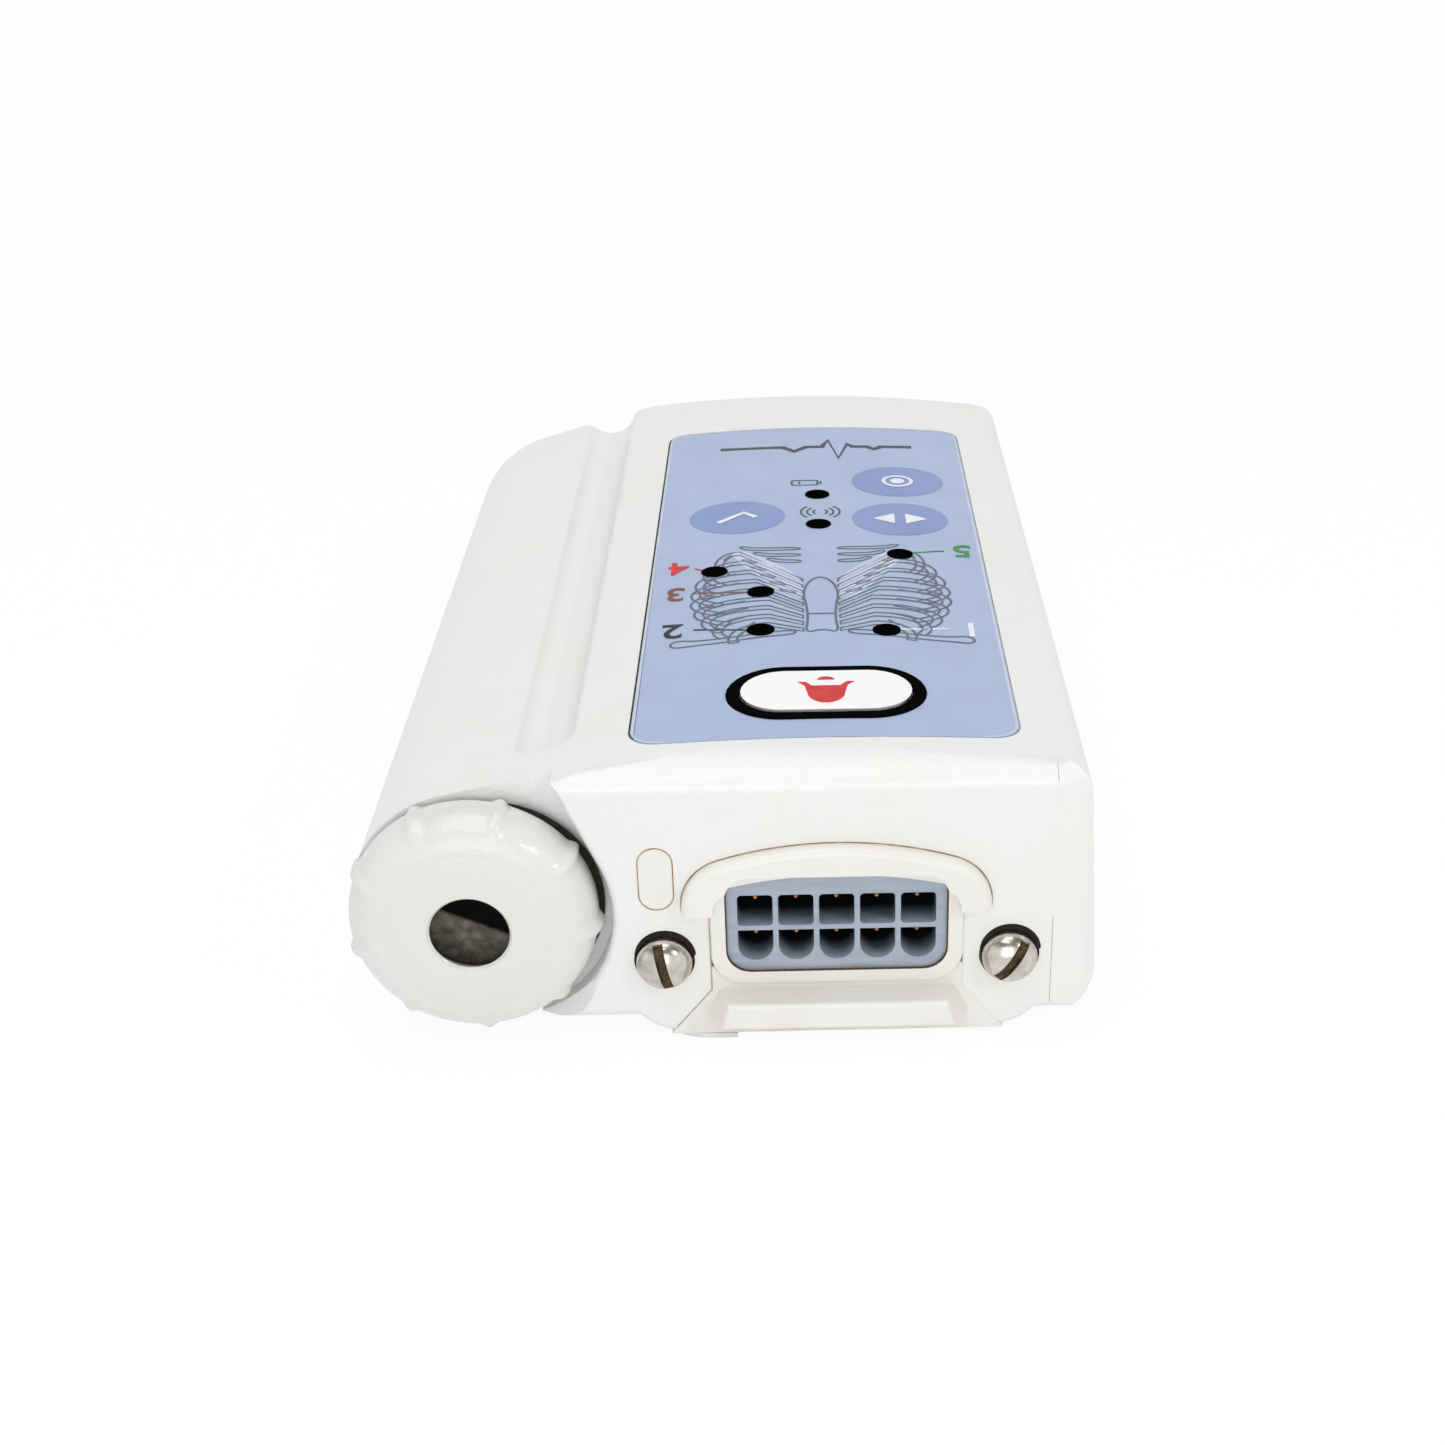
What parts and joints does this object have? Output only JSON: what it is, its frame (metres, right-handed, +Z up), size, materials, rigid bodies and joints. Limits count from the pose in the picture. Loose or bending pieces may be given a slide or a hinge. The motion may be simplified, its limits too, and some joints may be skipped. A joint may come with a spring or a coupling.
{
  "type": "ecg telemetry transmitter",
  "caption": "Hand-sized white ECG transmitter: moulded case with a screw-capped battery barrel, a hooded lead socket at one end and a printed keypad on top.",
  "frame": {"origin": "on the surface the case lies on, under the middle of its outline", "axes": "+X right and +Y away from the socket end, seen from that end; +Z up out of the keypad"},
  "size_m": [0.0772, 0.1212, 0.0328],
  "materials": {
    "case_white": "satin gloss with a fine moulded texture",
    "socket_grey": "moulded, slightly glossy",
    "film_blue": "printed satin film",
    "key_blue": "printed satin film",
    "button_white": "printed satin film",
    "ring_black": "printed satin film",
    "lamp_dark": "smoked",
    "screw_steel": "worn",
    "contact_steel": "dull",
    "pin_brass": "tinned copper alloy",
    "seal_rubber": "plain",
    "cell_wrap": "plain sleeve",
    "board_green": "lacquered",
    "led_white": "clear"
  },
  "bodies": {
    "case": {"main_housing": "case_white", "side_cover": "case_white", "rear_cover": "case_white", "rear_cover_screws": "screw_steel", "connector_bezel": "case_white", "bezel_screws": "screw_steel", "screw_inserts": "pin_brass", "connector_insert": "socket_grey", "port_plug": "case_white", "label_overlay": "film_blue", "call_button_ring": "ring_black", "main_board": "board_green", "board_screws": "screw_steel", "rf_shield": "contact_steel", "connector_board": "board_green", "battery_cell_front": "cell_wrap", "battery_cell_rear": "cell_wrap", "battery_contact_rear": "contact_steel", "contact_pin_top_1": "pin_brass", "contact_pin_low_1": "pin_brass", "contact_pin_top_2": "pin_brass", "contact_pin_low_2": "pin_brass", "contact_pin_top_3": "pin_brass", "contact_pin_low_3": "pin_brass", "contact_pin_top_4": "pin_brass", "contact_pin_low_4": "pin_brass", "contact_pin_top_5": "pin_brass", "contact_pin_low_5": "pin_brass", "led_window_1": "lamp_dark", "led_window_2": "lamp_dark", "led_window_3": "lamp_dark", "led_window_4": "lamp_dark", "led_window_5": "lamp_dark", "led_window_6": "lamp_dark", "led_window_7": "lamp_dark", "led_1": "led_white", "led_2": "led_white", "led_3": "led_white", "led_4": "led_white", "led_5": "led_white", "led_6": "led_white", "led_7": "led_white", "key_record_switch": "ring_black", "key_select_switch": "ring_black", "key_check_switch": "ring_black", "call_switch": "ring_black"},
    "battery_cap": {"battery_cap": "case_white", "cap_seal": "seal_rubber"},
    "cap_contact": {"cap_contact": "contact_steel"},
    "call_button": {"call_button": "button_white"},
    "key_record": {"key_record": "key_blue"},
    "key_select": {"key_select": "key_blue"},
    "key_check": {"key_check": "key_blue"}
  },
  "joints": [
    {"name": "cap_advance", "type": "slide", "parent": "case", "child": "cap_contact", "axis": [0, -1, 0], "range_m": [0, 0.009]},
    {"name": "cap_turn", "type": "hinge", "parent": "cap_contact", "child": "battery_cap", "pos_m": [-0.0257, -0.057, 0.0154], "axis": [0, -1, 0], "range_deg": [0, 820]},
    {"name": "call_button_press", "type": "slide", "parent": "case", "child": "call_button", "axis": [0, 0, -1], "range_m": [0, 0.0007], "stiffness_N_per_m": 1500},
    {"name": "key_record_press", "type": "slide", "parent": "case", "child": "key_record", "axis": [0, 0, -1], "range_m": [0, 0.00035], "stiffness_N_per_m": 1500},
    {"name": "key_select_press", "type": "slide", "parent": "case", "child": "key_select", "axis": [0, 0, -1], "range_m": [0, 0.00035], "stiffness_N_per_m": 1500},
    {"name": "key_check_press", "type": "slide", "parent": "case", "child": "key_check", "axis": [0, 0, -1], "range_m": [0, 0.00035], "stiffness_N_per_m": 1500}
  ],
  "couplings": [
    {"joint": "cap_turn", "follows": "cap_advance", "rad_per_m": 1570.8}
  ]
}
